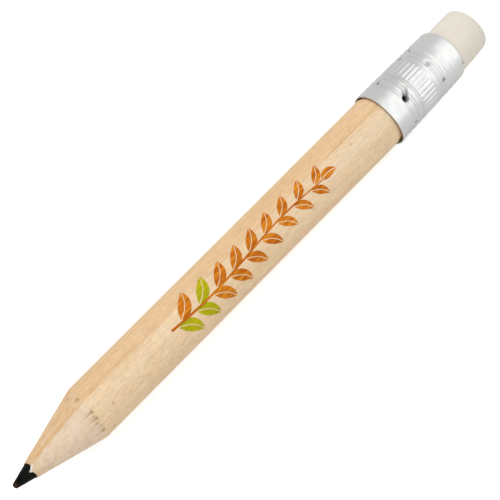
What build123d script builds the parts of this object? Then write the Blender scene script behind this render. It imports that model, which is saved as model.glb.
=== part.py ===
from build123d import *
from math import cos, radians, sin, tan
import os

# A short round wood-cased pencil, lying level along X with its point towards -X.
# Z = 0 is the surface it lies on, which its widest piece, the ferrule, touches.
# Distances along the pencil are counted from the point of the lead. Angles round the
# axis are counted from the top (+Z) towards the -Y side.

# Wood casing: two slats glued face to face on the upright plane through the axis
barrel_radius = 3.65
tenon_start = 69.15
tenon_radius = 3.45
casing_end = 76.0

# Graphite core, and the glue between the slats and round the core
lead_radius = 1.1
lead_tip_radius = 0.35
lead_tip_rounding = 0.14
lead_half_angle = 13.8
bare_lead = 3.05
seam_glue = 0.08
groove_glue = 0.05

# Sharpened point: a cone cut slightly off the axis of the barrel
cone_half_angle = 13.4
cone_tip_radius = 0.47
cut_run = 13.0
cut_drift_y = -0.18
cut_drift_z = 0.16

# Ferrule: a crimped aluminium tube that narrows towards the eraser
ferrule_start = 69.3
mouth_end = 70.6
lip_start = 82.2
ferrule_end = 82.75
rim_radius = 3.94
shoulder_radius = 3.66
lip_radius = 3.34
mouth_radius = 3.76
bore_radius = 3.46
bore_radius_at_lip = 3.36
neck_radius = 3.2

ring_places = (72.2, 73.2, 74.1, 78.0, 78.8, 79.9)
ring_groove_radius = 0.32
ring_groove_depth = 0.09

knurl_start = 74.55
knurl_end = 77.1
knurl_count = 36
knurl_groove_radius = 0.17
knurl_groove_depth = 0.11

# Stakes: dents punched through the ferrule's skin, which hold the wood and the eraser.
# A dent's reach is how far from the axis its tip stops.
stake_skin = 0.12
stake_tip_radius = 0.28
stake_flare = 0.4
dent_height = 0.4
punch_height = 0.8
wood_stakes = {"place": 72.7, "count": 6, "first_angle": 25.9, "reach": 3.1}
wood_stake_hole_radius = 0.13
eraser_stakes = {"place": 78.45, "count": 7, "first_angle": 11.4, "reach": 3.15}

# Eraser plug: pressed into the ferrule, its bare end cut a little askew
eraser_radius = 3.2
eraser_end_radius = 3.14
eraser_end = 88.0
eraser_end_slant = 4.4
eraser_long_side = 73.0
eraser_rounding = 0.6

# Worked out from the sizes above
axis_height = rim_radius
end_rise = (eraser_end_radius - eraser_rounding) * tan(radians(eraser_end_slant))
end_rounding_loss = eraser_rounding * (1 / cos(radians(eraser_end_slant)) - 1)
overall_length = eraser_end + end_rise - end_rounding_loss
tip_x = -overall_length / 2
beyond = 2 * overall_length
wide = 3 * barrel_radius


def outward(angle):
    """The direction that leaves the axis at an angle from the top towards -Y."""
    return Vector(0, -sin(radians(angle)), cos(radians(angle)))


def on_axis(distance):
    """The point of the axis at a distance from the point of the lead."""
    return Vector(tip_x + distance, 0, axis_height)


def across(distance):
    """The plane square to the axis there: its X is the row's +Y and its Y is up."""
    return Plane(origin=on_axis(distance), x_dir=(0, 1, 0), z_dir=(1, 0, 0))


def skin_radius(distance):
    """The ferrule's outside radius at a distance, between its rim and its shoulder."""
    share = (distance - ferrule_start) / (lip_start - ferrule_start)
    return rim_radius + (shoulder_radius - rim_radius) * share


def stake_planes(stakes, from_axis):
    """A plane at each stake of a row, that far from the axis and facing out from it."""
    planes = []
    for index in range(stakes["count"]):
        direction = outward(stakes["first_angle"] + 360 / stakes["count"] * index)
        origin = on_axis(stakes["place"]) + direction * from_axis
        planes.append(Plane(origin=origin, z_dir=direction))
    return planes


def punch(stakes, skin, height, mode):
    """Cones at a row of stakes, widening outwards, that far inside the dents' outer face."""
    with Locations(*stake_planes(stakes, stakes["reach"] + skin)):
        Cone(
            bottom_radius=stake_tip_radius - skin,
            top_radius=stake_tip_radius - skin + stake_flare * height,
            height=height,
            align=(Align.CENTER, Align.CENTER, Align.MIN),
            mode=mode,
        )


# The planes in which outlines are drawn: X runs along the pencil and Y is the radius.
# The sharpener's own plane leans with the cut that it made.
pencil_axis = Axis(on_axis(0), (1, 0, 0))
outline_plane = Plane(origin=on_axis(0), x_dir=(1, 0, 0), z_dir=(0, -1, 0))
cut_direction = Vector(cut_run, cut_drift_y, cut_drift_z).normalized()
cut_axis = Axis(on_axis(0), cut_direction)
cut_plane = Plane(
    origin=on_axis(0),
    x_dir=cut_direction,
    z_dir=cut_direction.cross(Vector(0, 0, 1)),
)

# What the sharpener leaves of the wood: everything inside this spinning outline
with BuildSketch(cut_plane) as wood_cut:
    with BuildLine():
        Polyline(
            (bare_lead, 0),
            (bare_lead, cone_tip_radius + bare_lead * tan(radians(cone_half_angle))),
            ((wide - cone_tip_radius) / tan(radians(cone_half_angle)), wide),
            (beyond, wide),
            (beyond, 0),
            close=True,
        )
    make_face()

# What it leaves of the lead, with its point worn blunt
with BuildSketch(cut_plane) as lead_cut:
    with BuildLine():
        Polyline(
            (0, 0),
            (0, lead_tip_radius),
            ((wide - lead_tip_radius) / tan(radians(lead_half_angle)), wide),
            (beyond, wide),
            (beyond, 0),
            close=True,
        )
    make_face()
    blunt_corner = lead_cut.vertices().sort_by_distance((0, lead_tip_radius))[0]
    fillet(blunt_corner, lead_tip_rounding)

# The collar of wood that comes off where the casing is turned down for the ferrule. Its
# shoulder stops just short of the ferrule, so the whole of the barrel is open to a sleeve.
with BuildSketch(across(tenon_start)) as tenon_cut:
    Circle(wide)
    Circle(tenon_radius, mode=Mode.SUBTRACT)


def finish_casing():
    """Turn the tenon, sharpen the point and press the stakes' dents into the wood."""
    extrude(tenon_cut.sketch, amount=casing_end, mode=Mode.SUBTRACT)
    revolve(wood_cut.sketch, axis=cut_axis, mode=Mode.INTERSECT)
    punch(wood_stakes, 0, dent_height, Mode.SUBTRACT)


def casing_slat(side):
    """Half of the casing: side is 1 for the +Y half and -1 for the -Y half."""
    with BuildPart() as slat:
        with BuildSketch(across(0)):
            Circle(barrel_radius)
            Circle(lead_radius + groove_glue, mode=Mode.SUBTRACT)
            with Locations((side * (seam_glue - wide) / 2, 0)):
                Rectangle(wide, 2 * wide, mode=Mode.SUBTRACT)
        extrude(amount=casing_end)
        finish_casing()
    return slat.part


# Glue: a thin sheet on the seam, above and below, and a sleeve round the core
with BuildPart() as seam_film:
    with BuildSketch(across(0)):
        Circle(barrel_radius)
        Rectangle(seam_glue, 2 * wide, mode=Mode.INTERSECT)
        Circle(lead_radius + groove_glue)
        Circle(lead_radius, mode=Mode.SUBTRACT)
    extrude(amount=casing_end)
    finish_casing()

with BuildPart() as core:
    with BuildSketch(across(0)):
        Circle(lead_radius)
    extrude(amount=casing_end)
    revolve(lead_cut.sketch, axis=cut_axis, mode=Mode.INTERSECT)

with BuildPart() as ferrule:
    with BuildSketch(outline_plane):
        with BuildLine():
            Polyline(
                (ferrule_end, lip_radius),
                (ferrule_end, neck_radius),
                (lip_start, bore_radius_at_lip),
                (casing_end, bore_radius),
                (mouth_end, bore_radius),
                (ferrule_start, mouth_radius),
                (ferrule_start, rim_radius),
                (lip_start, shoulder_radius),
            )
            TangentArc((lip_start, shoulder_radius), (ferrule_end, lip_radius), tangent=(1, 0))
        make_face()
        for place in ring_places:
            with Locations((place, skin_radius(place) - ring_groove_depth + ring_groove_radius)):
                Circle(ring_groove_radius, mode=Mode.SUBTRACT)
    revolve(axis=pencil_axis)
    knurl_skin = skin_radius((knurl_start + knurl_end) / 2)
    with BuildSketch(across(knurl_start)):
        with PolarLocations(knurl_skin - knurl_groove_depth + knurl_groove_radius, knurl_count):
            Circle(knurl_groove_radius)
    extrude(amount=knurl_end - knurl_start, mode=Mode.SUBTRACT)
    for row in (wood_stakes, eraser_stakes):
        punch(row, 0, dent_height, Mode.ADD)
        punch(row, stake_skin, punch_height, Mode.SUBTRACT)
    with Locations(*stake_planes(wood_stakes, rim_radius)):
        Hole(wood_stake_hole_radius, depth=rim_radius - wood_stakes["reach"])

with BuildPart() as plug:
    with BuildSketch(outline_plane):
        with BuildLine():
            Polyline(
                (casing_end, 0),
                (casing_end, bore_radius),
                (lip_start, bore_radius_at_lip),
                (ferrule_end, neck_radius),
                (eraser_end + eraser_radius, eraser_end_radius),
                (eraser_end + eraser_radius, 0),
                close=True,
            )
        make_face()
    revolve(axis=pencil_axis)
    lean = outward(eraser_long_side) * tan(radians(eraser_end_slant))
    end_plane = Plane(origin=on_axis(eraser_end), z_dir=Vector(1, 0, 0) - lean)
    split(bisect_by=end_plane, keep=Keep.BOTTOM)
    fillet(plug.faces().sort_by(Axis.X)[-1].edges(), eraser_rounding)
    punch(eraser_stakes, 0, dent_height, Mode.SUBTRACT)

pieces = {
    "left_slat": casing_slat(1),
    "right_slat": casing_slat(-1),
    "slat_glue": seam_film.part,
    "graphite_core": core.part,
    "ferrule": ferrule.part,
    "eraser_plug": plug.part,
}
os.makedirs("parts", exist_ok=True)
for name, piece in pieces.items():
    piece.label = name
    export_step(piece, f"parts/{name}.step")
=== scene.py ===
import bmesh
import bpy
import numpy as np
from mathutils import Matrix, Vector


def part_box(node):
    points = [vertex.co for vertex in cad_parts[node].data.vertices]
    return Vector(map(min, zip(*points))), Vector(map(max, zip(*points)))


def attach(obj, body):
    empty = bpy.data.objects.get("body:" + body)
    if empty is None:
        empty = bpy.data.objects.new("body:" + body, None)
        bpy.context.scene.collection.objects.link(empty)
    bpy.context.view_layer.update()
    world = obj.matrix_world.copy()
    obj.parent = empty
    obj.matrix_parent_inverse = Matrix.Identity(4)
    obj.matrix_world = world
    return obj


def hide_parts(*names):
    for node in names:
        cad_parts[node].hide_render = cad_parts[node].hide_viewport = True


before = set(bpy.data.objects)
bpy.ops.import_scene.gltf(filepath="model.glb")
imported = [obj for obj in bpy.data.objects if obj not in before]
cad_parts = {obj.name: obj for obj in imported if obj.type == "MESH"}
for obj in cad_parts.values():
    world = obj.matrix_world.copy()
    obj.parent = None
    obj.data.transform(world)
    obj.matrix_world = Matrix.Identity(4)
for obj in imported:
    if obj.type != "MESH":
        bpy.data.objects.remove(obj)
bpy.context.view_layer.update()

# Places on the pencil are given as three numbers: the distance from the point of the
# lead, the angle round the axis from the top towards the -Y side, and the distance from
# the axis. Lengths are in millimetres and angles in degrees.
MM = 0.001
core_low, core_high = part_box("graphite_core")
slat_low, slat_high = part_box("left_slat")
ferrule_low, ferrule_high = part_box("ferrule")
TIP_X = core_low.x
AXIS_Z = (ferrule_low.z + ferrule_high.z) / 2


def along(x):
    """The distance from the point of the lead to a place on the row's X axis."""
    return (x - TIP_X) / MM


BARREL_RADIUS = (slat_high.z - slat_low.z) / 2 / MM
LEAD_RADIUS = (core_high.z - core_low.z) / 2 / MM
CASING_END = along(slat_high.x)
FERRULE_START = along(ferrule_low.x)
FERRULE_END = along(ferrule_high.x)
RIM_RADIUS = (ferrule_high.z - ferrule_low.z) / 2 / MM

# Sharpened point, as in the CAD model
CONE_SLOPE = np.tan(np.radians(13.4))
CONE_TIP_RADIUS = 0.47
LEAD_SLOPE = np.tan(np.radians(13.8))
LEAD_TIP_RADIUS = 0.35
CUT_DRIFT = (-0.18 / 13, 0.16 / 13)
SEAM_HALF = 0.04
GROOVE_RADIUS = LEAD_RADIUS + 0.05
TENON_START = 69.35
TENON_RADIUS = 3.45
CHAMFER_RUN = 0.25
CHAMFER_DEPTH = 0.10
# Room left between pieces that touch, and where the lead is at its full thickness
CLEARANCE = 0.012
LEAD_FULL_START = 3.4
# The seam between the slats, turned a little from upright
SEAM_TURN = 2.5
# The ferrule sits slightly askew towards +Y, and draws the end of the casing with it
LEAN_START = 66.0
LEAN_SLOPE = 0.0138


# -------- shapes from numbers --------


def lean(distance):
    """How far the pencil's middle line has strayed towards +Y."""
    run_in = FERRULE_START - LEAN_START
    bend = np.clip(distance - LEAN_START, 0, run_in) ** 2 / (2 * run_in)
    return LEAN_SLOPE * (bend + np.maximum(distance - FERRULE_START, 0))


def place(distance, angle, radius):
    """Points in the row frame, in metres, for arrays of places on the pencil."""
    turn = np.radians(angle)
    x = TIP_X + distance * MM
    y = (lean(distance) - radius * np.sin(turn)) * MM
    z = AXIS_Z + radius * np.cos(turn) * MM
    return np.stack(np.broadcast_arrays(x, y, z), -1)


def lattice(corner, seed):
    """A repeatable number from -1 to 1 for each whole-numbered point."""
    weights = np.array([374761393, 668265263, 1440662683], np.int64)
    mixed = ((corner * weights).sum(-1) + seed * 982451653) & 0xFFFFFFFF
    mixed = ((mixed ^ (mixed >> 13)) * 1274126177) & 0xFFFFFFFF
    mixed = mixed ^ (mixed >> 16)
    return (mixed & 0xFFFF) / 32767.5 - 1


def noise(distance, angle, radius, size, seed):
    """Smooth random heights from -1 to 1. size is the length of a hump along the pencil
    and across it."""
    turn = np.radians(angle)
    parts = np.broadcast_arrays(
        distance / size[0],
        radius * np.sin(turn) / size[1],
        radius * np.cos(turn) / size[1],
    )
    points = np.stack(parts, -1)
    base = np.floor(points).astype(np.int64)
    share = points - base
    share = share * share * (3 - 2 * share)
    height = np.zeros(points.shape[:-1])
    for corner in np.ndindex(2, 2, 2):
        offset = np.array(corner)
        weight = np.where(offset == 1, share, 1 - share).prod(-1)
        height += weight * lattice(base + offset, seed)
    return height


def bump(value, centre, width):
    """A bell of height 1 at centre, down to 0.37 at that width from it."""
    return np.exp(-(((value - centre) / width) ** 2))


def rise(value, run):
    """A straight rise from 0 to 1 while value goes from zero to run."""
    return np.clip(value / run, 0, 1)


def step(value):
    """A smooth rise from 0 to 1 where value passes zero."""
    return 1 / (1 + np.exp(-np.clip(value, -60, 60)))


def turn_from(angle, centre):
    """Degrees from centre to angle, the short way round."""
    return (angle - centre + 180) % 360 - 180


def arc_from(angle, centre, radius):
    """Millimetres round the axis from centre to angle, the short way."""
    return np.radians(turn_from(angle, centre)) * radius


def bump_round(angle, centre, width):
    """A bell of height 1 at an angle round the axis."""
    return bump(turn_from(angle, centre), 0, width)


def smooth_min(a, b, soft):
    """The smaller of two heights, with a rounded corner where they cross."""
    return (a + b - np.sqrt((a - b) ** 2 + soft**2)) / 2


def grid_faces(rows, columns, wrap_rows=False, wrap_columns=False):
    """Four-sided faces over a grid of points numbered row by row."""
    here = np.arange(rows * columns).reshape(rows, columns)
    below = np.roll(here, -1, 0)
    corners = np.stack([here, below, np.roll(below, -1, 1), np.roll(here, -1, 1)], -1)
    corners = corners[: rows if wrap_rows else -1, : columns if wrap_columns else -1]
    return corners.reshape(-1, 4).tolist()


def tube(outer, inner):
    """Points and faces of a tube, from the points of its outside and of its bore."""
    rows, columns = outer.shape[:2]
    return np.r_[outer, inner[::-1]], grid_faces(2 * rows, columns, True, True)


def round_solid(distance, angle, radius, first_end, last_end):
    """Points and faces of rings round the axis, closed by a point of the axis at either
    end. first_end and last_end are where those are."""
    rows, columns = distance.shape
    rings = place(distance, angle, radius).reshape(-1, 3)
    ends = place(np.array([first_end, last_end]), 0, 0)
    faces = grid_faces(rows, columns, wrap_columns=True)
    first_point = rows * columns
    last_ring = first_point - columns
    for column in range(columns):
        after = (column + 1) % columns
        faces.append([first_point, after, column])
        faces.append([first_point + 1, last_ring + column, last_ring + after])
    return np.r_[rings, ends], faces


def make_piece(name, points, faces, material, node=None, marks=None, crease=35):
    """A closed mesh that rides on the pencil. marks are numbers kept on its points: those
    past the end of a mark's numbers have none of it."""
    mesh = bpy.data.meshes.new(name)
    mesh.from_pydata(points.reshape(-1, 3).tolist(), [], faces)
    for mark, values in (marks or {}).items():
        attribute = mesh.attributes.new(mark, "FLOAT", "POINT")
        on_points = np.zeros(len(mesh.vertices), np.float32)
        on_points[: values.size] = values.ravel()
        attribute.data.foreach_set("value", on_points)
    shape = bmesh.new()
    shape.from_mesh(mesh)
    bmesh.ops.recalc_face_normals(shape, faces=shape.faces)
    shape.to_mesh(mesh)
    shape.free()
    mesh.shade_smooth()
    mesh.set_sharp_from_angle(angle=np.radians(crease))
    mesh.materials.append(material)
    piece = bpy.data.objects.new(name, mesh)
    bpy.context.scene.collection.objects.link(piece)
    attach(piece, "root")
    if node:
        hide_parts(node)
    return piece


def cut_radius(distance, angle, tip_radius, slope):
    """How far from the barrel's axis the sharpener's tilted cone lies."""
    turn = np.radians(angle)
    drift_y = CUT_DRIFT[0] * distance
    drift_z = CUT_DRIFT[1] * distance
    outward = -drift_y * np.sin(turn) + drift_z * np.cos(turn)
    sideways = drift_y * np.cos(turn) + drift_z * np.sin(turn)
    radius = tip_radius + slope * distance
    return outward + np.sqrt(np.maximum(radius**2 - sideways**2, 0))


def cut_end(angle, full_radius, tip_radius, slope):
    """The distance at which the sharpener's cone comes out at a round surface."""
    distance = np.full_like(angle, (full_radius - tip_radius) / slope)
    for _ in range(12):
        miss = full_radius - cut_radius(distance, angle, tip_radius, slope)
        distance = distance + miss / slope
    return distance


def spread(start, end, count):
    """count places from start to end for each column, both included."""
    share = np.linspace(0, 1, count)[:, None]
    return start + (end - start) * share


# -------- material building --------


def shader_node(tree, kind, inputs=None, **settings):
    """A shader node with its settings, its inputs linked or set."""
    made = tree.nodes.new("ShaderNode" + kind)
    for key, value in settings.items():
        setattr(made, key, value)
    for key, value in (inputs or {}).items():
        if isinstance(value, bpy.types.NodeSocket):
            tree.links.new(value, made.inputs[key])
        else:
            made.inputs[key].default_value = value
    return made


def calc(tree, operation, first, second=0.0):
    """The result of one sum of two numbers."""
    return shader_node(tree, "Math", {0: first, 1: second}, operation=operation).outputs[0]


def product(tree, first, second):
    """Two numbers multiplied."""
    return calc(tree, "MULTIPLY", first, second)


def total(tree, first, second, share=1.0):
    """The first number and a share of the second."""
    return calc(tree, "ADD", first, product(tree, second, share))


def blend(tree, share, first, second, mode="MIX"):
    """Two colours mixed by a share from 0 to 1."""
    inputs = {0: share, 6: first, 7: second}
    return shader_node(tree, "Mix", inputs, data_type="RGBA", blend_type=mode).outputs[2]


def ramp(tree, value, low, high, to_low=0.0, to_high=1.0):
    """value's run from low to high, stretched to another run and held there."""
    inputs = {"Value": value, "From Min": low, "From Max": high}
    inputs.update({"To Min": to_low, "To Max": to_high})
    made = shader_node(tree, "MapRange", inputs, interpolation_type="SMOOTHSTEP")
    return made.outputs["Result"]


def object_millimetres(tree, stretch, shift=(0, 0, 0)):
    """The place on the object in millimetres, squeezed by stretch."""
    place_in = shader_node(tree, "TexCoord").outputs["Object"]
    scale = [s / MM for s in stretch]
    inputs = {"Vector": place_in, "Scale": scale, "Location": shift}
    return shader_node(tree, "Mapping", inputs).outputs["Vector"]


def grain_noise(tree, lengthwise, across, detail, rough, shift=(0, 0, 0), warp=0.0):
    """Noise from about 0.3 to 0.7, with so many humps in a millimetre along the pencil
    and across it."""
    inputs = {
        "Vector": object_millimetres(tree, (lengthwise, across, across), shift),
        "Scale": 1.0,
        "Detail": detail,
        "Roughness": rough,
        "Distortion": warp,
    }
    return shader_node(tree, "TexNoise", inputs).outputs["Fac"]


def mark_of(tree, name):
    """A number kept on the mesh's points."""
    return shader_node(tree, "Attribute", attribute_name=name).outputs["Fac"]


def surface(name, specular):
    """A new material, and the tree that its nodes go in."""
    material = bpy.data.materials.new(name)
    material.use_nodes = True
    tree = material.node_tree
    tree.nodes["Principled BSDF"].inputs["Specular IOR Level"].default_value = specular
    return material, tree


def link_shader(tree, **sockets):
    """Link what varies over a surface to its shader's inputs."""
    shader = tree.nodes["Principled BSDF"]
    for name, value in sockets.items():
        tree.links.new(value, shader.inputs[name.replace("_", " ")])


def relief(tree, height, depth_mm, strength):
    """A normal for fine relief: height runs from 0 to 1 over depth_mm."""
    inputs = {"Height": height, "Distance": depth_mm * MM, "Strength": strength}
    return shader_node(tree, "Bump", inputs).outputs["Normal"]


def tint(tree, share, colour):
    """A colour made lighter or darker by a share that varies round 1."""
    grey = shader_node(tree, "CombineColor", {0: share, 1: share, 2: share}).outputs[0]
    return blend(tree, 1.0, colour, grey, "MULTIPLY")


# A wood's pale and deep colours, where its noise starts, and how its growth rings lie
PALE_WOOD = ((0.88, 0.675, 0.445, 1), (0.815, 0.59, 0.355, 1), 2, 0.35)
WARM_WOOD = ((0.845, 0.60, 0.36, 1), (0.79, 0.525, 0.285, 1), 5, -0.3)
PALE_CUT = (0.82, 0.68, 0.53, 1)
WARM_CUT = (0.78, 0.535, 0.295, 1)
PINK_BLUSH = (0.86, 0.60, 0.43, 1)
PORE_BROWN = (0.38, 0.21, 0.08, 1)
PIT_BROWN = (0.31, 0.155, 0.03, 1)
STAIN_BROWN = (0.66, 0.39, 0.155, 1)
# Pale cream for the wood's fresh-cut front edge, also used for painted highlights on the wood
EDGE_CREAM_AND_HIGHLIGHT = (0.84, 0.825, 0.755, 1)
CHATTER_PINK = (0.70, 0.49, 0.37, 1)
TORN_SHADE = (0.78, 0.65, 0.53, 1)
TORN_PALE = (0.88, 0.72, 0.55, 1)
GRAPHITE_BLACK = (0.0013, 0.0012, 0.0009, 1)
GRAPHITE_SHEEN = (0.009, 0.0105, 0.0085, 1)
GRAPHITE_RUST = (0.020, 0.013, 0.004, 1)
GRAPHITE_POINT = (0.075, 0.032, 0.010, 1)
ALUMINIUM = (0.715, 0.72, 0.70, 1)
ALUMINIUM_DULL = (0.665, 0.675, 0.675, 1)
# Painted highlight on the ferrule towards the eraser
ALUMINIUM_PAINTED_HIGHLIGHT = (0.76, 0.765, 0.75, 1)
# Near-black painted shade inside the ferrule's stakes and dimples
STAKE_PAINTED_SHADE = (0.008, 0.007, 0.006, 1)
RUBBER = (0.80, 0.745, 0.65, 1)
RUBBER_DULL = (0.765, 0.705, 0.605, 1)
RUBBER_GRAIN = (0.60, 0.53, 0.43, 1)
RUBBER_RUBBED = (0.60, 0.57, 0.53, 1)
GLUE_WARM = (0.68, 0.44, 0.22, 1)
GLUE_PALE = (0.80, 0.575, 0.35, 1)
GLUE_DARK = (0.42, 0.20, 0.07, 1)
# How much of the wood's own colour each ink lets through, and how much where it is thin
INK_BROWN = ((0.62, 0.20, 0.0, 1), (0.90, 0.43, 0.04, 1))
INK_GREEN = ((0.47, 0.62, 0.0, 1), (0.62, 0.76, 0.01, 1))


def times(colour, shares):
    """A plain colour with its parts multiplied."""
    return [part * share for part, share in zip(colour, (*shares, 1))]


def wood_look(tree, pale, deep, seed, line_turn):
    """The colour of bare basswood and the heights of its fibres and of its pores."""
    shift = (seed * 7.3, seed * 3.1, seed * 5.7)
    broad = grain_noise(tree, 0.055, 0.42, 2.0, 0.5, shift, 0.3)
    streak = grain_noise(tree, 0.11, 2.3, 4.0, 0.6, shift, 0.2)
    fibre = grain_noise(tree, 0.7, 13.0, 3.0, 0.65, shift)
    mottle = grain_noise(tree, 0.5, 1.7, 4.0, 0.65, shift, 0.6)
    blush = grain_noise(tree, 0.22, 0.8, 2.0, 0.5, (seed * 2.7, seed * 9.1, seed * 4.3))
    fleck = grain_noise(tree, 1.1, 4.2, 3.0, 0.6, (seed * 4.9, seed * 1.3, seed * 8.7), 0.5)
    # Growth rings: thin darker lines where a slowly bent slope passes whole numbers
    bend = grain_noise(tree, 0.035, 0.30, 2.0, 0.5, shift, 0.4)
    across = object_millimetres(tree, (0.0, np.sin(line_turn), np.cos(line_turn)))
    parts = shader_node(tree, "SeparateXYZ", {0: across})
    slope = product(tree, total(tree, parts.outputs["Y"], parts.outputs["Z"]), 0.75)
    slope = total(tree, slope, bend, 5.5)
    ring = calc(tree, "FRACT", calc(tree, "ADD", slope, seed * 0.37))
    ring_line = product(tree, ramp(tree, ring, 0.55, 0.93), ramp(tree, ring, 1.0, 0.93))
    # Short dark pores along the grain
    pore = ramp(tree, grain_noise(tree, 0.9, 9.0, 1.0, 0.5, shift), 0.68, 0.76)
    tone = total(tree, streak, broad, 0.8)
    colour = blend(tree, ramp(tree, tone, 0.62, 1.18), pale, deep)
    line_share = product(tree, ring_line, ramp(tree, broad, 0.38, 0.62, 0.05, 0.16))
    colour = blend(tree, line_share, colour, times(deep, (0.86, 0.74, 0.60)))
    colour = blend(tree, ramp(tree, blush, 0.50, 0.72, 0.0, 0.30), colour, PINK_BLUSH)
    mottle_share = ramp(tree, mottle, 0.70, 0.34, 0.0, 0.40)
    colour = blend(tree, mottle_share, colour, times(deep, (0.97, 0.93, 0.86)))
    colour = tint(tree, ramp(tree, fibre, 0.3, 0.7, 0.96, 1.035), colour)
    colour = tint(tree, ramp(tree, fleck, 0.34, 0.66, 0.93, 1.06), colour)
    colour = blend(tree, product(tree, pore, 0.30), colour, PORE_BROWN)
    return colour, fibre, pore


def bare_wood(name, look, cut_colour):
    """Sanded wood, a little greyer and rougher where the sharpener has cut it."""
    material, tree = surface(name, 0.3)
    colour, fibre, pore = wood_look(tree, *look)
    cut = mark_of(tree, "cut")
    colour = blend(tree, product(tree, cut, 0.6), colour, cut_colour)
    # The blade's chatter across the cone, and torn fibres along it
    chatter = grain_noise(tree, 1.3, 0.45, 3.0, 0.6, (3.1, 0.7, 1.9), 0.8)
    torn = grain_noise(tree, 0.45, 2.2, 4.0, 0.65, (0.3, 2.7, 5.9), 1.2)
    for share, shade, mode in (
        (ramp(tree, chatter, 0.42, 0.68, 0.0, 0.34), CHATTER_PINK, "MIX"),
        (ramp(tree, torn, 0.50, 0.66, 0.0, 0.50), TORN_SHADE, "MULTIPLY"),
        (ramp(tree, torn, 0.47, 0.34, 0.0, 0.40), TORN_PALE, "MIX"),
    ):
        colour = blend(tree, product(tree, share, cut), colour, shade, mode)
    # The edge mark is partly paler fresh-cut wood at the lead and partly painted highlight
    for mark, shade in (("stain", STAIN_BROWN), ("pit_colour_and_painted_shade", PIT_BROWN), ("edge", EDGE_CREAM_AND_HIGHLIGHT)):
        colour = blend(tree, mark_of(tree, mark), colour, shade)
    ragged = product(tree, total(tree, chatter, torn), cut)
    height = total(tree, total(tree, fibre, pore, -0.8), ragged, 0.5)
    rough = ramp(tree, fibre, 0.3, 0.7, 0.5, 0.68)
    link_shader(tree, Base_Color=colour, Roughness=rough, Normal=relief(tree, height, 0.02, 0.6))
    return material


def ink(name, lets_through):
    """Thin print that the wood's own grain shows through."""
    material, tree = surface(name, 0.1)
    colour, fibre, _ = wood_look(tree, *PALE_WOOD)
    patch = grain_noise(tree, 0.20, 1.9, 4.0, 0.65)
    share = blend(tree, ramp(tree, patch, 0.38, 0.64), *lets_through)
    colour = blend(tree, 1.0, colour, share, "MULTIPLY")
    colour = tint(tree, ramp(tree, fibre, 0.32, 0.68, 0.86, 1.10), colour)
    rough = ramp(tree, patch, 0.3, 0.7, 0.5, 0.66)
    link_shader(tree, Base_Color=colour, Roughness=rough, Normal=relief(tree, fibre, 0.012, 0.5))
    return material


def graphite():
    """Cut graphite: near black, with a dull sheen along the sharpener's strokes."""
    material, tree = surface("graphite", 0.06)
    stroke = grain_noise(tree, 0.35, 4.5, 4.0, 0.6)
    speck = grain_noise(tree, 9.0, 9.0, 2.0, 0.5)
    rust = grain_noise(tree, 0.5, 3.0, 3.0, 0.6, (1.7, 4.1, 2.3))
    colour = blend(tree, ramp(tree, stroke, 0.46, 0.62), GRAPHITE_BLACK, GRAPHITE_SHEEN)
    colour = blend(tree, ramp(tree, rust, 0.50, 0.64, 0.0, 0.85), colour, GRAPHITE_RUST)
    colour = blend(tree, mark_of(tree, "wear_and_painted_highlight"), colour, GRAPHITE_POINT)
    rough = ramp(tree, stroke, 0.35, 0.68, 0.40, 0.6)
    height = total(tree, stroke, speck, 0.4)
    link_shader(tree, Base_Color=colour, Roughness=rough, Normal=relief(tree, height, 0.03, 0.8))
    return material


def ferrule_metal():
    """Satin aluminium with fine drawing lines and small scuffs, painted shade in its stakes and
    dimples, and a painted highlight towards the eraser.
    """
    material, tree = surface("satin_aluminium", 0.05)
    drawn = grain_noise(tree, 0.8, 16.0, 3.0, 0.6)
    cloud = grain_noise(tree, 1.1, 1.1, 3.0, 0.5)
    grit = grain_noise(tree, 20.0, 20.0, 1.0, 0.5)
    pit_colour_and_painted_shade = mark_of(tree, "pit_colour_and_painted_shade")
    wear_and_painted_highlight = mark_of(tree, "wear_and_painted_highlight")
    colour = blend(tree, ramp(tree, cloud, 0.35, 0.7), ALUMINIUM, ALUMINIUM_DULL)
    # Towards the eraser the colour is painted brighter: a painted highlight
    colour = blend(tree, product(tree, wear_and_painted_highlight, 0.5), colour, ALUMINIUM_PAINTED_HIGHLIGHT)
    # Painted shade in the stakes and dimples: near black, and not metallic there
    colour = blend(tree, pit_colour_and_painted_shade, colour, STAKE_PAINTED_SHADE)
    rough = ramp(tree, total(tree, cloud, drawn), 0.7, 1.3, 0.30, 0.44)
    normal = relief(tree, total(tree, drawn, grit, 0.5), 0.006, 0.6)
    link_shader(tree, Base_Color=colour, Roughness=total(tree, rough, wear_and_painted_highlight, 0.03), Normal=normal)
    link_shader(tree, Metallic=ramp(tree, pit_colour_and_painted_shade, 0.0, 0.6, 1.0, 0.0))
    return material


def eraser_rubber():
    """Off-white rubber: matt, faintly mottled, a little grey where it has been rubbed."""
    material, tree = surface("eraser_rubber", 0.3)
    cloud = grain_noise(tree, 0.6, 0.6, 3.0, 0.55)
    grain = grain_noise(tree, 7.0, 7.0, 3.0, 0.6)
    colour = blend(tree, ramp(tree, cloud, 0.35, 0.68), RUBBER, RUBBER_DULL)
    colour = blend(tree, ramp(tree, grain, 0.60, 0.72, 0.0, 0.16), colour, RUBBER_GRAIN)
    colour = blend(tree, mark_of(tree, "rubbed"), colour, RUBBER_RUBBED)
    rough = ramp(tree, cloud, 0.3, 0.7, 0.62, 0.78)
    link_shader(tree, Base_Color=colour, Roughness=rough, Normal=relief(tree, grain, 0.02, 0.5))
    return material


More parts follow.
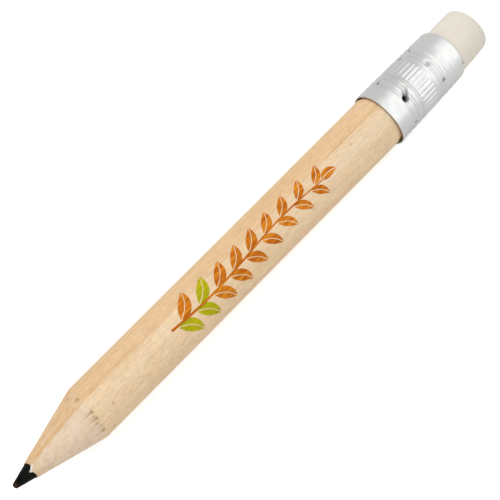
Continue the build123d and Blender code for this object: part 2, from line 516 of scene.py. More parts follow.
def dried_glue():
    """The brown edge of the glue between the slats."""
    material, tree = surface("dried_glue", 0.5)
    patch = grain_noise(tree, 0.5, 4.0, 3.0, 0.6)
    colour = blend(tree, ramp(tree, patch, 0.36, 0.66), GLUE_WARM, GLUE_PALE)
    dark = product(tree, mark_of(tree, "brown"), ramp(tree, patch, 0.36, 0.62, 0.75, 0.3375))
    colour = blend(tree, dark, colour, GLUE_DARK)
    rough = ramp(tree, patch, 0.3, 0.7, 0.4, 0.6)
    link_shader(tree, Base_Color=colour, Roughness=rough, Normal=relief(tree, patch, 0.02, 0.5))
    return material


# -------- marks on the wood --------

# Where the wood ends on the lead, all round: angle, then distance. The sharp step towards
# the point is a tongue of wood left on the lead.
WOOD_FRONT = (
    (-180, 2.95), (-150, 2.80), (-128, 2.60), (-112, 2.90), (-65, 3.08), (-36, 3.10),
    (-20, 3.22), (-7, 3.18), (3, 2.94), (15, 2.64), (23, 2.42), (28, 2.27), (34, 2.38),
    (45, 2.58), (60, 2.70), (83, 2.82), (110, 2.95), (138, 2.70), (158, 2.92), (180, 2.95),
)
# Specks of bark in the barrel: distance, angle, length, width and how dark
SPECKS = [
    (15.07, 45.0, 0.22, 0.15, 0.85), (17.73, 44.5, 0.20, 0.12, 0.35),
    (43.70, -20.7, 0.20, 0.11, 0.40), (61.71, 0.2, 0.24, 0.12, 0.50),
    (62.39, 18.2, 0.18, 0.12, 0.75),
]
# Fibres torn out where the sharpener's cone ends: start, end, angle, its drift, width,
# depth, and how dark
TEARS = [
    (10.2, 12.30, 27.5, 1.0, 0.18, 0.06, 1.00),
    (10.6, 12.25, 42.0, 1.5, 0.24, 0.05, 0.90),
    (11.1, 12.05, 37.5, 0.5, 0.13, 0.03, 0.65),
    (10.8, 11.95, 53.0, 0.5, 0.20, 0.04, 0.72),
    (11.2, 12.25, 61.0, 0.5, 0.13, 0.04, 0.65),
    (11.4, 12.30, 72.5, 3.0, 0.30, 0.04, 0.85),
    (11.3, 12.42, -10.5, 0.5, 0.24, 0.04, 0.75),
    (10.6, 12.05, -33.0, 1.0, 0.30, 0.02, 0.35),
]
# Painted highlights on fibres lifted between the torn ones: start, end, angle and width
SPLINTERS = [(11.0, 11.75, 48.5, 0.15), (11.1, 12.0, 57.5, 0.14), (10.7, 11.6, 66.0, 0.18)]
# Darker streaks of the wood itself: start, end, angle, its drift, width and strength
STREAKS = [
    (3.2, 7.2, -5.0, -1.0, 0.20, 0.75), (6.0, 11.0, -4.0, 1.5, 0.24, 0.65),
    (7.5, 11.8, -24.0, -6.0, 0.34, 0.40), (9.0, 11.9, -12.0, -3.0, 0.26, 0.42),
    (13.0, 24.0, -2.0, 0.5, 0.26, 0.50), (24.0, 40.0, -6.0, -2.0, 0.24, 0.25),
    (12.6, 22.0, -31.0, 3.0, 0.34, 0.30), (36.0, 57.0, -17.0, 2.0, 0.16, 0.22),
    (57.0, 70.0, -16.0, 0.0, 0.14, 0.28), (59.0, 70.0, 2.0, 0.5, 0.13, 0.26),
    (66.2, 70.0, -1.5, 3.0, 0.12, 0.34), (57.5, 70.0, 29.5, 1.0, 0.11, 0.20),
    (61.0, 70.0, 38.0, 3.5, 0.12, 0.10), (63.0, 70.0, 54.0, 3.0, 0.16, 0.14),
    (57.0, 66.0, 17.0, -1.0, 0.14, 0.10), (28.0, 46.0, 60.0, 2.0, 0.20, 0.20),
]
# More of each on the side away from the sprig
for index in range(9):
    draw = lattice(np.array([[index, 7, k] for k in range(5)]), 41)
    far_side = 180 + 92 * draw[0]
    SPECKS.append((38 + 24 * draw[1], far_side, 0.20 + 0.05 * draw[2], 0.13 + 0.03 * draw[3], 0.6))
    base = cut_end(far_side, BARREL_RADIUS, CONE_TIP_RADIUS, CONE_SLOPE)
    run = 0.75 + 0.3 * draw[4]
    darkness = 0.6 + 0.2 * draw[3]
    tear_turn = 90 + 22.5 * index
    TEARS.append((base - 0.15 - run, base - 0.1, tear_turn, 3 * draw[2], 0.17, 0.06, darkness))
    STREAKS.append((20 + 18 * (draw[0] + 1), 62, 95 + 19 * index, 5 * draw[3], 0.2, 0.25))


def wood_front(angle):
    """Where the wood starts at each angle, with a finely frayed edge."""
    around, distance = np.array(WOOD_FRONT).T
    fray = 0.035 * noise(0, angle, 1.0, (1, 0.12), 3)
    return np.interp((angle + 180) % 360 - 180, around, distance) + fray


def cone_streaks(angle):
    """Long shallow ridges that the blade leaves down the cone."""
    broad = 0.028 * noise(0, angle, 3.6, (1, 0.9), 5)
    fine = 0.014 * noise(0, angle, 3.6, (1, 0.28), 6)
    return broad + fine


def wood_pits(distance, angle, radius):
    """How deep the specks and torn fibres go, and how dark they are."""
    depth = np.zeros(np.broadcast(distance, angle).shape)
    dark = depth.copy()
    for place_of, turn, length, width, strength in SPECKS:
        across = arc_from(angle, turn, radius)
        hole = np.exp(-(((distance - place_of) / length) ** 2 + (across / width) ** 2) * 1.6)
        depth = depth + 0.07 * strength * hole
        dark = np.maximum(dark, strength * hole)
    for start, end, turn, drift, width, deep, strength in TEARS:
        share = rise(distance - start, end - start)
        across = arc_from(angle, turn + drift * share, radius)
        ragged = 1 + 0.35 * noise(distance, angle, radius, (0.35, 0.3), 61)
        inside = (distance > start - 0.05) * bump(np.maximum(distance - end, 0), 0, 0.10)
        hole = inside * share**1.2 * bump(across, 0, width * ragged * (0.55 + 0.45 * share))
        depth = depth + deep * hole
        dark = np.maximum(dark, strength * hole * (0.55 + 0.45 * share**4))
    return depth, dark


def wood_stains(distance, angle, radius, front, base):
    """How strongly the wood is darkened: by its own streaks, next to the lead, and in a
    patch where the cone comes out."""
    stain = np.zeros(np.broadcast(distance, angle).shape)
    for start, end, turn, drift, width, strength in STREAKS:
        share = rise(distance - start, end - start)
        wander = 0.8 * noise(distance, 0, 1.0, (2.6, 1), int(10 * start))
        across = arc_from(angle, turn + drift * share + wander, radius)
        fade = rise(distance - start, 1.2)
        if end < TENON_START:
            fade = fade * rise(end - distance, 1.2)
        broken = np.clip(0.75 + 0.5 * noise(distance, angle, radius, (1.6, 0.5), 62), 0, 1)
        stain = np.maximum(stain, strength * fade * broken * bump(across, 0, width))
    near_lead = 0.3 * bump(distance, front + 0.1, 0.35)
    near_lead = near_lead + 0.22 * bump(distance, front + 0.75, 0.65)
    patch = 0.26 * bump(distance, base - 0.6, 0.9) * bump_round(angle, 48, 34)
    return np.maximum(np.maximum(stain, near_lead), patch)


def painted_highlight_places(distance, angle, radius):
    """How much painted highlight lightens the wood: in a faint band along the barrel that
    grows towards the ferrule, and where fibres are lifted."""
    # A painted highlight in a band along the barrel, and painted highlights on the lifted fibres
    pale = (0.04 + 0.15 * rise(distance - 48, 12)) * bump_round(angle, 31, 14)
    for start, end, turn, width in SPLINTERS:
        run = rise(distance - start, 0.2) * rise(end - distance, 0.15)
        pale = np.maximum(pale, 0.30 * run * bump(arc_from(angle, turn, radius), 0, width))
    return pale


def barrel_surface(distance, angle):
    """The sanded barrel: round, but for faint flats along the grain, and eased at its end."""
    waves = 0.012 * noise(distance, angle, BARREL_RADIUS, (16, 1.5), 11)
    chamfer = rise(distance - TENON_START + CHAMFER_RUN, CHAMFER_RUN) ** 2
    return BARREL_RADIUS - 0.03 + waves - CHAMFER_DEPTH * chamfer


def wood_surface(distance, angle):
    """The outside of the casing: the sharpened cone, then the barrel."""
    cone = cut_radius(distance, angle, CONE_TIP_RADIUS, CONE_SLOPE)
    grip = rise(distance - 2.3, 9)
    cone = cone + (0.25 + 0.75 * grip) * cone_streaks(angle)
    cone = cone + 0.014 * grip * noise(distance, angle, BARREL_RADIUS, (0.9, 0.35), 8)
    cone = cone + 0.008 * grip * noise(distance, angle, BARREL_RADIUS, (0.28, 1.6), 9)
    return smooth_min(cone - 0.02, barrel_surface(distance, angle), 0.03)


def lead_surface(distance, angle):
    """The outside of the lead: its own slightly steeper cone, then its full thickness."""
    cone = cut_radius(distance, angle, LEAD_TIP_RADIUS, LEAD_SLOPE)
    flats = 0.030 * noise(0, angle, 1.0, (1, 0.42), 21)
    nicks = 0.016 * noise(distance, angle, 1.0, (0.30, 0.16), 22)
    cone = cone - 0.012 + (flats + nicks) * np.clip(distance / 0.8, 0.2, 1)
    return smooth_min(cone, LEAD_RADIUS, 0.02)


# -------- the ferrule's shape --------

LIP_START = 82.62
LIP_END = FERRULE_END + 0.2
SHOULDER_RADIUS = 3.63
LIP_RADIUS = 3.34
THINNEST_SKIN = 0.10
# The bore from the mouth to the lip: places and radii
BORE_PLACES = (FERRULE_START, 70.6, CASING_END, LIP_START, LIP_END)
BORE_RADII = (3.84, 3.46, 3.46, 3.36, 3.2)
# Rolled ring grooves: place, depth and half width
RINGS = (
    (72.15, 0.10, 0.21), (73.15, 0.125, 0.21), (74.12, 0.14, 0.19), (77.35, 0.06, 0.20),
    (78.15, 0.12, 0.20), (78.92, 0.11, 0.20), (80.00, 0.08, 0.22), (80.85, 0.04, 0.20),
)
KNURL_START = 74.5
KNURL_END = 77.0
KNURL_COUNT = 36
KNURL_TURN = 4.0
# Stakes pierced slantwise into the wood: distance and angle of the deep end and of the
# shallow end, width, depth
STAKES = [
    ((72.42, 32.0), (73.22, 18.0), 0.40, 0.74),
    ((72.26, -38.0), (72.55, -36.5), 0.26, 0.50),
    ((72.40, 90.0), (72.90, 86.0), 0.16, 0.15),
]
for turn in (145.9, -94.1, -154.1):
    STAKES.append(((72.3, turn + 3.0), (73.3, turn - 9.0), 0.32, 0.55))
# Shallow dimples, most of which hold the eraser: distance, angle, radius, depth, and how dark the
# painted shade in it is
DIMPLES = [
    (78.35, 14.0, 0.34, 0.15, 0.30), (78.80, 64.5, 0.29, 0.17, 0.95),
    (79.11, -43.0, 0.26, 0.12, 0.60), (77.18, -44.5, 0.30, 0.13, 1.0),
    (82.80, 69.0, 0.24, 0.08, 0.85), (72.78, -33.5, 0.22, -0.17, 0.0),
    (73.05, -30.5, 0.17, 0.10, 0.70),
]
for turn in (114.3, 165.7, -142.9, -91.4):
    DIMPLES.append((78.45, turn, 0.26, 0.15, 0.5))


def ring_grooves(distance, angle):
    """How far the rolled rings stand out: grooves with a low ridge on either side, a
    little uneven round the tube."""
    height = np.zeros(np.broadcast(distance, angle).shape)
    for ring, depth, half in RINGS:
        uneven = 1 + 0.3 * noise(0, angle, RIM_RADIUS, (1, 1.8), int(ring * 10))
        bowed = ring + 0.06 * noise(0, angle, RIM_RADIUS, (1, 2.6), int(ring * 7))
        ridges = bump(distance, bowed - 2.2 * half, half) + bump(distance, bowed + 2.2 * half, half)
        height = height + 0.02 * ridges - depth * uneven * bump(distance, bowed, half)
    return height


def knurl(distance, angle):
    """The height of the band of short grooves that run along the tube."""
    rolled = step((distance - KNURL_START) / 0.06) * step((KNURL_END - distance) / 0.06)
    wander = 0.12 * noise(distance, angle, RIM_RADIUS, (9, 1.4), 31)
    turn = ((angle - KNURL_TURN) / 360 * KNURL_COUNT + wander) % 1
    uneven = 1 + 0.25 * noise(0, angle, RIM_RADIUS, (1, 0.7), 32)
    return rolled * (0.02 - 0.088 * uneven * bump(turn, 0.5, 0.17))


def stake(distance, angle, deep_end, shallow_end, width, depth):
    """A slanted hole with a burr round it: its height, and how dark the painted shade in the hole
    is, darkest at the deep end.
    """
    along_x = distance - deep_end[0]
    along_y = arc_from(angle, deep_end[1], RIM_RADIUS)
    run_x = shallow_end[0] - deep_end[0]
    run_y = arc_from(shallow_end[1], deep_end[1], RIM_RADIUS)
    run = np.hypot(run_x, run_y)
    forward = (along_x * run_x + along_y * run_y) / run
    aside = (along_x * run_y - along_y * run_x) / run
    share = rise(forward, run)
    gap = np.hypot(aside, forward - share * run) / (width * (1 - 0.25 * share))
    hole = step((1 - gap) / 0.07)
    height = 0.06 * bump(gap, 1.40, 0.33) - depth * (1 - share) ** 0.8 * hole
    height = height - 0.10 * bump(gap, 0, 1.9)
    return height, hole * np.clip(1.7 - 2.2 * share, 0, 1)


def dimple(distance, angle, place_of, turn, reach, depth, darkness):
    """A round dimple with a low rim: its height, and how dark the painted shade in it is."""
    gap = np.hypot(distance - place_of, arc_from(angle, turn, SHOULDER_RADIUS)) / reach
    return 0.02 * bump(gap, 1.7, 0.5) - depth * bump(gap, 0, 1), darkness * bump(gap, 0.1, 0.75)


def mouth_flare(distance, angle):
    """How far the mouth is bent outwards on one side."""
    return 0.09 * bump(distance, FERRULE_START, 0.9) * bump_round(angle, 100, 36)


def ferrule_outside(distance, angle):
    """The radius of the ferrule's outer skin, and how dark the painted shade is in its stakes and
    dimples.
    """
    share = (distance - FERRULE_START) / (LIP_START - FERRULE_START)
    skin = RIM_RADIUS + (SHOULDER_RADIUS - RIM_RADIUS) * share
    fall = rise(distance - LIP_START, LIP_END - LIP_START)
    skin = skin - (SHOULDER_RADIUS - LIP_RADIUS) * (1 - np.sqrt(1 - fall**2))
    skin = skin - 0.05 * bump(distance, FERRULE_START, 0.10)
    skin = skin + mouth_flare(distance, angle)
    skin = skin + ring_grooves(distance, angle) + knurl(distance, angle)
    skin = skin + 0.010 * noise(distance, angle, RIM_RADIUS, (2.5, 2.2), 33)
    dark = np.zeros_like(skin)
    marks = [stake(distance, angle, *numbers) for numbers in STAKES]
    marks += [dimple(distance, angle, *numbers) for numbers in DIMPLES]
    for height, darkness in marks:
        skin = skin + height
        dark = np.maximum(dark, darkness)
    return skin, dark


def ferrule_inside(distance, angle):
    """The radius of the bore, pushed in where the skin is pierced."""
    outside = ferrule_outside(distance, angle)[0]
    bore = np.interp(distance, BORE_PLACES, BORE_RADII) + mouth_flare(distance, angle)
    return np.minimum(bore, outside - THINNEST_SKIN)


# -------- the pieces --------


# How finely a slat is divided: round it, down the cone, over the cone's end and along the
# barrel. One in eight of its columns goes on in the groove.
SLAT_COLUMNS = 161
CONE_ROWS = 60
CONE_END_ROWS = 36
BARREL_ROWS = 285
GROOVE_SKIP = 8


def slat_rows(low_edge, high_edge, base):
    """Distances of a slat's rows of points, from its frayed edge to the casing's end."""
    under_stakes = np.arange(71.7, 74.3, 0.13)
    tenon = np.array([TENON_START + 0.02, 71.0, 71.6, *under_stakes, 74.6, CASING_END])
    stages = (
        low_edge[None],
        high_edge[None],
        spread(high_edge + 0.08, base - 2.2, CONE_ROWS),
        spread(base - 2.2, base + 0.35, CONE_END_ROWS)[1:],
        spread(base + 0.35, TENON_START, BARREL_ROWS)[1:],
        tenon[:, None] + 0 * base,
    )
    return np.concatenate(stages)


def slat_faces(rows):
    """Faces of a slat's outside, of its groove, and of its two flats along the seam."""
    faces = grid_faces(rows + 1, SLAT_COLUMNS)
    outside = np.arange((rows + 1) * SLAT_COLUMNS).reshape(rows + 1, -1)
    # The groove has fewer points, and at both ends they are the outside's own
    ends = outside[[0, -1], ::GROOVE_SKIP]
    inside = outside.size + np.arange((rows - 2) * ends.shape[1]).reshape(rows - 2, -1)
    inside = np.concatenate([ends[:1], inside, ends[1:]])
    for row in range(rows - 1):
        for column in range(ends.shape[1] - 1):
            pair = slice(column, column + 2)
            between = slice(column * GROOVE_SKIP, (column + 1) * GROOVE_SKIP + 1)
            near = outside[0, between] if row == 0 else inside[row, pair]
            far = outside[-1, between] if row == rows - 2 else inside[row + 1, pair]
            faces.append([*near.tolist(), *far[::-1].tolist()])
        for seam in (0, -1):
            down = outside[row : row + 2, seam].tolist()
            back = inside[row : row + 2, seam][::-1].tolist()
            faces.append(list(dict.fromkeys(down + back)))
    return faces


def casing_slat(side, material):
    """Half of the casing: side is 1 for the +Y half and -1 for the -Y half."""
    share = np.linspace(0, 1, SLAT_COLUMNS)[None, :]

    def turned(radius_near, fraction):
        """Angles from the upper seam round to the lower one."""
        gap = np.degrees(np.arcsin(SEAM_HALF / radius_near))
        return SEAM_TURN - side * (gap + (180 - 2 * gap) * fraction)

    front_angle = turned(LEAD_RADIUS, share[0])
    skin_angle = turned(BARREL_RADIUS, share[0])
    low_edge = wood_front(front_angle)
    band = 0.10 + 0.25 * bump(front_angle, 18, 14)
    high_edge = low_edge + band + 0.04 * noise(0, front_angle, 1.0, (1, 0.3), 4)
    base = cut_end(skin_angle, BARREL_RADIUS, CONE_TIP_RADIUS, CONE_SLOPE)
    base = base - cone_streaks(skin_angle) / CONE_SLOPE
    distance = slat_rows(low_edge, high_edge, base)
    radius = np.full_like(distance, TENON_RADIUS)
    for _ in range(3):
        angle = turned(np.maximum(radius, 0.5), share)
        radius = wood_surface(distance, angle)
    bare = distance < TENON_START + 0.01
    seat = np.minimum(TENON_RADIUS, ferrule_inside(distance, angle) - CLEARANCE)
    radius = np.where(bare, radius, seat)
    pit_depth, dark = wood_pits(distance, angle, radius)
    radius = radius - bare * pit_depth
    groove = np.minimum(GROOVE_RADIUS, lead_surface(distance, angle) + CLEARANCE)
    groove = np.where(distance > LEAD_FULL_START, GROOVE_RADIUS, groove)
    radius[0] = groove[0]
    outer = place(distance, angle, radius)
    # The end face: one more row, in at the groove
    end_row = place(CASING_END, turned(GROOVE_RADIUS, share), GROOVE_RADIUS)
    inner_angle = turned(GROOVE_RADIUS, share[:, ::GROOVE_SKIP])
    inner = place(distance[1:-1, ::GROOVE_SKIP], inner_angle, groove[1:-1, ::GROOVE_SKIP])
    points = np.concatenate([part.reshape(-1, 3) for part in (outer, end_row, inner)])
    ragged = 0.14 * noise(distance, angle, radius, (0.5, 0.22), 63)
    # The edge mark: painted highlights along the barrel and on lifted fibres; at the frayed front,
    # paler fresh-cut wood with a painted highlight on the side of the tongue that faces the light
    cream = 0.20 + 0.80 * bump(front_angle, 15, 15)
    edge = painted_highlight_places(distance, angle, radius)
    edge[:3] = np.outer((1, 0.95, 0.40), cream)
    marks = {
        "pit_colour_and_painted_shade": bare * dark,
        "edge": edge,
        "cut": rise(base - 0.02 + ragged - distance, 0.3),
        "stain": bare * wood_stains(distance, angle, radius, high_edge, base),
    }
    name = "left_slat" if side > 0 else "right_slat"
    faces = slat_faces(len(distance))
    return make_piece(name + "_wood", points, faces, material, name, marks)


def glue_film(material):
    """The glue: a thin upright sheet above and below the lead, and a sleeve round it."""
    sleeve = GROOVE_RADIUS - 0.003
    arc = np.linspace(6, 174, 15)
    half = SEAM_HALF - 0.002
    outline = [(-half, 1, 1), (half, 1, 1)]
    outline += [(half, 1, 0)] + [(None, a, 0) for a in arc] + [(half, -1, 0)]
    outline += [(half, -1, 1), (-half, -1, 1)]
    outline += [(-half, -1, 0)] + [(None, -a, 0) for a in arc[::-1]] + [(-half, 1, 0)]
    start = wood_front(SEAM_TURN) + 0.03
    base = cut_end(SEAM_TURN, BARREL_RADIUS, CONE_TIP_RADIUS, CONE_SLOPE)
    distance = np.r_[
        np.linspace(start, base - 1.2, 50),
        np.linspace(base - 1.2, base + 0.4, 24)[1:],
        np.linspace(base + 0.4, TENON_START, 240)[1:],
        TENON_START + 0.02, 71.6, 72.7, 74.3, CASING_END,
    ]
    skin = []
    recess = 0.009 + 0.008 * rise(distance - 56, 4)
    for upright in (SEAM_TURN, SEAM_TURN + 180):
        line = wood_surface(distance, upright)
        line = line - wood_pits(distance, upright, line)[0]
        line = np.where(distance > TENON_START, TENON_RADIUS, line) - recess
        skin.append(line)
    hug = np.minimum(sleeve, lead_surface(distance, 0) + 0.03)
    tips = [np.maximum(line, hug + 0.01) for line in skin]
    outer = np.zeros((len(distance), len(outline), 3))
    inner = np.zeros_like(outer)
    for column, (across, where, is_tip) in enumerate(outline):
        if across is None:
            reach = hug
            turn = np.full_like(distance, where)
        else:
            tall = tips[0 if where > 0 else 1] if is_tip else np.sqrt(hug**2 - across**2)
            reach = np.hypot(tall, across)
            turn = np.degrees(np.arctan2(across, where * tall))
        turn = turn + SEAM_TURN
        outer[:, column] = place(distance, turn, reach)
        core = np.minimum(LEAD_RADIUS, lead_surface(distance, turn)) + 0.004
        inner[:, column] = place(distance, turn, core)
    points, faces = tube(outer, inner)
    brown = rise(distance - 56, 5)
    cone_brown = np.clip((base - distance) / 0.5, 0, 0.25)
    marks = {"brown": (brown + cone_brown)[:, None] + np.zeros(len(outline))}
    return make_piece("glue_film", points, faces, material, "slat_glue", marks)


def lead(material):
    """The graphite core, with a blunt, slightly lopsided point."""
    columns = 72
    angle = np.arange(columns)[None, :] * 360 / columns
    dome = np.array([0.0, 0.012, 0.035, 0.07, 0.115, 0.17])
    dome_share = np.array([0.25, 0.5, 0.70, 0.84, 0.94, 1.0])
    body = np.r_[np.linspace(0.22, 3.6, 70), 4.2, 8, 30, 60, CASING_END]
    distance = np.r_[dome, body][:, None] + 0 * angle
    radius = lead_surface(distance, angle)
    radius[: len(dome)] *= dome_share[:, None]
    slant = 0.05 * np.cos(np.radians(angle - 30))
    slant = slant + 0.03 * noise(0, angle, LEAD_TIP_RADIUS, (1, 0.3), 24)
    fade = 1 - rise(distance, 0.6)
    distance = distance + slant * fade * radius / LEAD_TIP_RADIUS
    points, faces = round_solid(distance, angle, radius, -0.004, CASING_END)
    patchy = 0.75 + 0.5 * noise(distance, angle, LEAD_TIP_RADIUS, (0.2, 0.2), 25)
    wear_and_painted_highlight = np.clip(1.1 - distance / 0.42, 0, 1) * patchy
    marks = {"wear_and_painted_highlight": np.append(wear_and_painted_highlight, 1)}
    return make_piece("graphite_lead", points, faces, material, "graphite_core", marks)


def ferrule_tube(material):
    """The crimped aluminium tube, with its rings, knurl, stakes and rolled lip."""
    columns = 396
    angle = np.arange(columns)[None, :] * 360 / columns
    # Rows of points: close together where the stakes, rings and dimples are
    rim = FERRULE_START + np.array([0.0, 0.03, 0.08, 0.15, 0.30])
    body = np.r_[
        np.arange(69.8, 71.4, 0.3),
        np.arange(71.5, 74.75, 0.085),
        np.arange(74.85, 76.7, 0.2),
        np.arange(76.8, 81.2, 0.1),
        np.arange(81.3, LIP_START - 0.05, 0.2),
    ]
    lip_turn = np.linspace(0, 1, 9)
    lip = LIP_START + (LIP_END - LIP_START) * np.sin(lip_turn * np.pi / 2)
    distance = np.r_[rim, body, lip][:, None] + 0 * angle
    outside, dark = ferrule_outside(distance, angle)
    inside = ferrule_inside(distance, angle)
    # The mouth is cut a little wavy
    wave = 0.02 * noise(0, angle, RIM_RADIUS, (1, 2.0), 35)
    wave = wave + 0.03 - 0.165 * np.cos(np.radians(2 * (angle - 24)))
    wave = wave + 0.32 * bump_round(angle, 135, 38) + 0.16 * bump_round(angle, -90, 32)
    fade = 1 - rise(distance - FERRULE_START, 1.6)
    shifted = distance + wave * fade
    points, faces = tube(place(shifted, angle, outside), place(shifted, angle, inside))
    # The end by the eraser is painted a little brighter, a painted highlight, and made a little
    # rougher
    # The pit mark on the ferrule is painted shade in its stakes and dimples
    marks = {"pit_colour_and_painted_shade": dark, "wear_and_painted_highlight": rise(distance - 78.0, 1.5)}
    return make_piece(
        "ferrule_tube", points, faces, material, "ferrule", marks, 50
    )


# The eraser's bare end: cut at a slant, and standing further askew than the ferrule
ERASER_END = 88.1
ERASER_END_RADIUS = 3.18
ERASER_ROUNDING = 0.37
ERASER_CROWN = 0.09
ERASER_SLANT = 4.4
ERASER_LONG_SIDE = 73
SLANT_START = 84.0
# The plug from the casing to its bare end, nipped by the lip and swollen past it
PLUG_PLACES = (CASING_END, LIP_START, LIP_END, LIP_END + 0.25, LIP_END + 0.8, ERASER_END)
PLUG_RADII = (3.445, 3.345, 3.185, 3.33, 3.28, ERASER_END_RADIUS)
ERASER_LEAN = 0.027
ERASER_LEAN_START = 83.6
ERASER_LEAN_TURN = -65


def eraser_askew(distance, angle):
    """How far the bare end of the eraser has moved outwards at each angle."""
    slip = ERASER_LEAN * np.maximum(distance - ERASER_LEAN_START, 0)
    slip = slip - 0.055 * rise(distance - LIP_END, 0.4)
    return slip * np.cos(np.radians(angle - ERASER_LEAN_TURN))


def eraser(material):
    """The rubber plug: swollen a little where the lip grips it, and cut askew at its end."""
    columns = 120
    angle = np.arange(columns)[None, :] * 360 / columns
    slant = np.tan(np.radians(ERASER_SLANT)) * np.cos(np.radians(angle - ERASER_LONG_SIDE))
    wall = np.r_[
        np.arange(CASING_END, 82.2, 0.25),
        np.linspace(LIP_START, 84.2, 18),
        np.linspace(84.5, ERASER_END - 0.9, 22),
    ]
    wall_rows = wall[:, None] + 0 * angle
    radius = np.interp(wall_rows, PLUG_PLACES, PLUG_RADII)
    room = ferrule_inside(wall_rows, angle) - CLEARANCE
    radius = np.where(wall_rows < LIP_END, np.minimum(radius, room), radius)
    radius = radius + eraser_askew(wall_rows, angle)
    # The slant comes in along the wall, so that no row of points crosses another
    stretch = rise(wall_rows - SLANT_START, ERASER_END - ERASER_ROUNDING - SLANT_START)
    wall_rows = wall_rows + stretch * slant * radius
    turn = np.radians(np.linspace(0, 90, 12)[:, None])
    end_askew = eraser_askew(ERASER_END, angle)
    round_radius = ERASER_END_RADIUS - ERASER_ROUNDING * (1 - np.cos(turn)) + end_askew
    round_rows = ERASER_END - ERASER_ROUNDING * (1 - np.sin(turn)) + slant * round_radius
    inward = np.linspace(1, 0.04, 16)[1:, None]
    face_radius = (ERASER_END_RADIUS - ERASER_ROUNDING + end_askew) * inward
    face_rows = ERASER_END + ERASER_CROWN * (1 - inward**2) + slant * face_radius
    distance = np.r_[wall_rows, round_rows, face_rows]
    radius = np.r_[radius, round_radius, face_radius]
    bare = rise(distance - LIP_END, 0.6)
    radius = radius + bare * 0.022 * noise(distance, angle, radius, (1.7, 1.5), 51)
    radius = radius + bare * 0.008 * noise(distance, angle, radius, (0.5, 0.45), 52)
    distance = distance + bare * 0.020 * noise(0, angle, radius, (1, 1.1), 53)
    points, faces = round_solid(distance, angle, radius, CASING_END, ERASER_END + ERASER_CROWN)
    rubbed = 0.5 + 0.5 * noise(distance, angle, radius, (1.2, 1.2), 54)
    rubbed = 0.35 * rubbed * rise(distance - ERASER_END + 1.3, 1.2)
    name = "eraser_rubber_plug"
    marks = {"rubbed": np.append(rubbed, [0, 0.1])}
    return make_piece(name, points, faces, material, "eraser_plug", marks)


# -------- the print --------

INK_LIFT = 0.010
INK_SINK = 0.015
SPRIG_START = 27.0
SPRIG_END = 56.0
STEM_TURN = 28.0
STEM_WAVE = 0.35
LEAF_PAIRS = 9
LEAF_LENGTH = 3.9
LEAF_WIDTH = 1.75
LEAF_TILT = 42
MIDRIB_HALF = 0.055


def beside(line):
    """The direction square to a flat line at each of its points."""
    ahead = np.gradient(line, axis=0)
    ahead = ahead / np.hypot(*ahead.T)[:, None]
    return np.stack([-ahead[:, 1], ahead[:, 0]], -1)


def ink_patch(line, widths):
    """A thin closed patch that follows the barrel. line is points (distance, arc from the
    stem in mm), and widths is the half width at each of them."""
    across = np.linspace(-1, 1, 7)
    spots = line[:, None, :] + beside(line)[:, None, :] * (widths[:, None] * across)[..., None]
    distance = spots[..., 0]
    angle = STEM_TURN + np.degrees(spots[..., 1] / BARREL_RADIUS)
    skin = barrel_surface(distance, angle)
    top = place(distance, angle, skin + INK_LIFT)
    under = place(distance, angle, skin - INK_SINK)
    points = np.concatenate([top, under[:, ::-1]], axis=1)
    rows, columns = points.shape[:2]
    faces = grid_faces(rows, columns, wrap_columns=True)
    faces.append(list(range(columns)))
    faces.append([(rows - 1) * columns + c for c in range(columns - 1, -1, -1)])
    return points.reshape(-1, 3), faces


def print_piece(name, patches, material):
    """Several patches of print as one piece."""
    points = []
    faces = []
    for patch_points, patch_faces in patches:
        offset = sum(len(p) for p in points)
        points.append(patch_points)
        faces += [[corner + offset for corner in face] for face in patch_faces]
    return make_piece(name, np.concatenate(points), faces, material)


def leaf(root, tilt, length, width):
    """The two halves of a leaf, either side of its open midrib."""
    tilt = np.radians(tilt)
    share = np.linspace(0, 1, 15)
    curl = 0.10 * length * np.sin(np.pi * share) * np.sign(tilt)
    forward = root[0] + length * share * np.cos(tilt) + curl * np.sin(tilt)
    aside = root[1] + length * share * np.sin(tilt) - curl * np.cos(tilt)
    half = width / 2 * np.sin(np.pi * np.clip(share, 0.03, 0.97) ** 0.85) ** 0.8
    reach = np.maximum(half - MIDRIB_HALF, 0.03)
    midrib = np.stack([forward, aside], -1)
    shift = beside(midrib) * (MIDRIB_HALF + reach / 2)[:, None]
    return [ink_patch(midrib + hand * shift, reach / 2) for hand in (1, -1)]


def sprig(brown_ink, green_ink):
    """A leafy sprig along the barrel, printed in two colours."""
    share = np.linspace(0, 1, 120)
    stem_distance = SPRIG_START + (SPRIG_END - SPRIG_START) * share
    stem_line = np.stack([stem_distance, STEM_WAVE * np.sin(2 * np.pi * share)], -1)
    brown = [ink_patch(stem_line, 0.17 - 0.09 * share)]
    green = []
    for index in range(LEAF_PAIRS):
        where = (index + 0.35) / LEAF_PAIRS
        root_at = SPRIG_START + (SPRIG_END - SPRIG_START) * where
        root_side = STEM_WAVE * np.sin(2 * np.pi * where)
        size = 1 - 0.35 * where
        for hand in (1, -1):
            root = (root_at + 0.9 * (hand < 0), root_side + hand * 0.22)
            halves = leaf(root, hand * LEAF_TILT, LEAF_LENGTH * size, LEAF_WIDTH * size)
            printed = green if index == 1 or (index == 0 and hand > 0) else brown
            printed += halves
    brown += leaf((SPRIG_END, 0.0), 2, 2.6, 1.2)
    print_piece("print_sprig_brown", brown, brown_ink)
    print_piece("print_sprig_green", green, green_ink)


# -------- putting it together --------

left_wood = bare_wood("warm_basswood", WARM_WOOD, WARM_CUT)
right_wood = bare_wood("pale_basswood", PALE_WOOD, PALE_CUT)
casing_slat(1, left_wood)
casing_slat(-1, right_wood)
glue_film(dried_glue())
lead(graphite())
ferrule_tube(ferrule_metal())
eraser(eraser_rubber())
sprig(ink("print_orange_brown", INK_BROWN), ink("print_green", INK_GREEN))


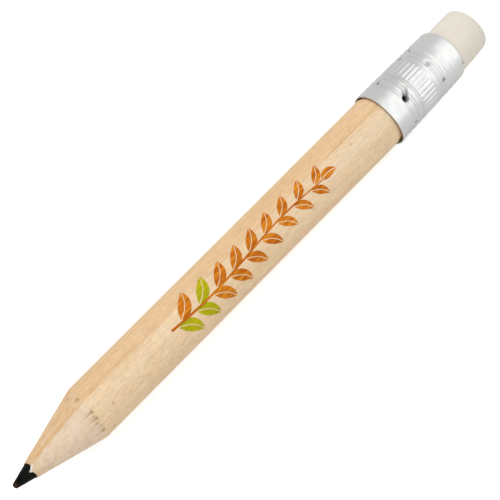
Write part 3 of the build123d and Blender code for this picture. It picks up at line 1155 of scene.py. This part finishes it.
# The studio's sizes are in metres
TABLE_SIZE = 4
TABLE_COLOUR = (0.80, 0.80, 0.80, 1)
TABLE_GLOW = 0.6
SKY_STRENGTH = 0.77
# The camera, in millimetres and degrees: what it looks at, from where, and its lens
LOOK_AT = (-0.134, -0.005, 3.963)
CAMERA_AZIMUTH = -51.1285
CAMERA_ELEVATION = 54.0961
CAMERA_REACH = 498.61
CAMERA_LENS = 294.293


def studio():
    """A plain white table under soft light."""
    bpy.ops.mesh.primitive_plane_add(size=TABLE_SIZE)
    floor = bpy.context.object
    floor.name = "studio_floor"
    material, tree = surface("studio_white", 0.1)
    shader = tree.nodes["Principled BSDF"]
    shader.inputs["Base Color"].default_value = TABLE_COLOUR
    shader.inputs["Roughness"].default_value = 0.9
    shader.inputs["Emission Color"].default_value = (1, 1, 1, 1)
    # The table is overexposed to plain white, but only itself: it lights nothing
    seen = shader_node(tree, "LightPath").outputs["Is Camera Ray"]
    link_shader(tree, Emission_Strength=product(tree, seen, TABLE_GLOW))
    floor.data.materials.append(material)

    world = bpy.data.worlds.new("studio_world")
    world.use_nodes = True
    backdrop = world.node_tree.nodes["Background"]
    backdrop.inputs["Color"].default_value = (1, 1, 1, 1)
    backdrop.inputs["Strength"].default_value = SKY_STRENGTH
    bpy.context.scene.world = world


def soft_light(name, azimuth, elevation, reach, size, power, sheen=True, fill=True):
    """A square light at a direction from the pencil, facing it."""
    data = bpy.data.lights.new(name, "AREA")
    data.shape = "SQUARE"
    data.size = size
    data.energy = power
    lamp = bpy.data.objects.new(name, data)
    bpy.context.scene.collection.objects.link(lamp)
    away = from_angles(azimuth, elevation)
    lamp.location = away * reach
    lamp.rotation_euler = away.to_track_quat("Z", "Y").to_euler()
    lamp.visible_glossy = sheen
    lamp.visible_diffuse = fill


def from_angles(azimuth, elevation):
    """The direction towards a viewer: azimuth 0 looks along +Y, with +X to the right."""
    turn = np.radians(azimuth)
    lift = np.radians(elevation)
    return Vector((np.sin(turn) * np.cos(lift), -np.cos(turn) * np.cos(lift), np.sin(lift)))


def camera():
    """A long lens, looking down on the pencil from beyond its point."""
    data = bpy.data.cameras.new("camera")
    data.sensor_width = 36
    data.lens = CAMERA_LENS
    data.clip_start = 0.01
    view = bpy.data.objects.new("camera", data)
    bpy.context.scene.collection.objects.link(view)
    away = from_angles(CAMERA_AZIMUTH, CAMERA_ELEVATION)
    view.location = (Vector(LOOK_AT) + away * CAMERA_REACH) * MM
    view.rotation_euler = away.to_track_quat("Z", "Y").to_euler()
    bpy.context.scene.camera = view


studio()
soft_light("overhead", azimuth=180, elevation=82, reach=0.7, size=0.7, power=1.65, sheen=False)
soft_light("window", azimuth=42.5, elevation=47.5, reach=0.6, size=1.05, power=2.2, fill=False)
camera()
bpy.context.scene.view_settings.view_transform = "Standard"
